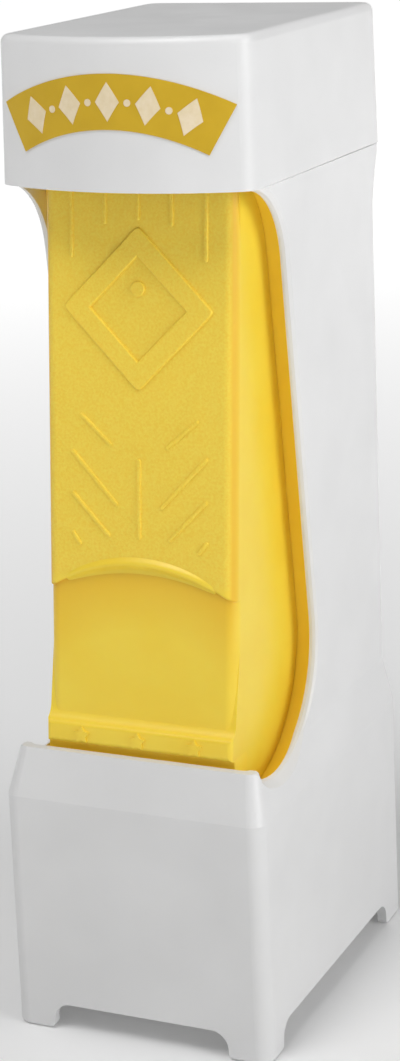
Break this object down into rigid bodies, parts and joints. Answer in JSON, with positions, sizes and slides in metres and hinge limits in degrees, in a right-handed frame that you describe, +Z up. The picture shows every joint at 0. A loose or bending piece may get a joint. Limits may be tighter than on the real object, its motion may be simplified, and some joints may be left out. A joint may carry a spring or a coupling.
{
  "type": "butter_dispenser",
  "caption": "Free-standing lever-squeezed butter dispenser with a hinged lid, a square inner chute and a sliding blade that cuts and drops a pat through its base",
  "frame": {"origin": "on the floor plane under the middle of the width and of the whole depth", "axes": "+Z up, front with the lever faces -Y, +X across the width"},
  "size_m": [0.068, 0.0968, 0.24],
  "materials": {
    "white_shell": "satin moulded white plastic",
    "yellow_shell": "satin moulded butter-yellow plastic with a finely grained upper panel",
    "label_film": "thin printed film, golden yellow with plain cream shapes",
    "white_moulding": "plain moulded white plastic",
    "grey_moulding": "plain moulded light grey plastic",
    "steel": "plain stainless steel",
    "rubber": "black rubber"
  },
  "bodies": {
    "housing": {"housing": "white_shell", "lid_hinge_pin": "steel", "lever_pivot_pin": "steel", "spring_sleeve": "grey_moulding", "pivot_spacer_left": "grey_moulding", "pivot_spacer_right": "grey_moulding", "return_spring_left": "steel", "return_spring_right": "steel", "butter_chute": "white_moulding", "chute_screws": "steel", "guide_rail_left": "steel", "guide_rail_right": "steel", "base_plate": "white_moulding", "base_plate_screws": "steel", "lever_bumpers": "rubber"},
    "lid": {"lid": "white_shell", "lid_label": "label_film"},
    "lever": {"squeeze_lever": "yellow_shell", "drive_pin": "steel", "drive_pin_clips": "steel"},
    "blade": {"blade_carriage": "grey_moulding", "cutting_blade": "steel", "blade_screws": "steel"}
  },
  "joints": [
    {"name": "lid_open", "type": "hinge", "parent": "housing", "child": "lid", "pos_m": [0, 0.0456, 0.204], "axis": [-1, 0, 0], "range_deg": [0, 105]},
    {"name": "lever_squeeze", "type": "hinge", "parent": "housing", "child": "lever", "pos_m": [0, -0.008, 0.2], "axis": [1, 0, 0], "range_deg": [0, 11.64], "stiffness_Nm_per_rad": 2, "deforming": ["return_spring_left", "return_spring_right"]},
    {"name": "blade_slide", "type": "slide", "parent": "housing", "child": "blade", "axis": [0, 1, 0], "range_m": [0, 0.0344]}
  ],
  "couplings": [
    {"joint": "blade_slide", "follows": "lever_squeeze", "m_per_rad": 0.16884}
  ]
}
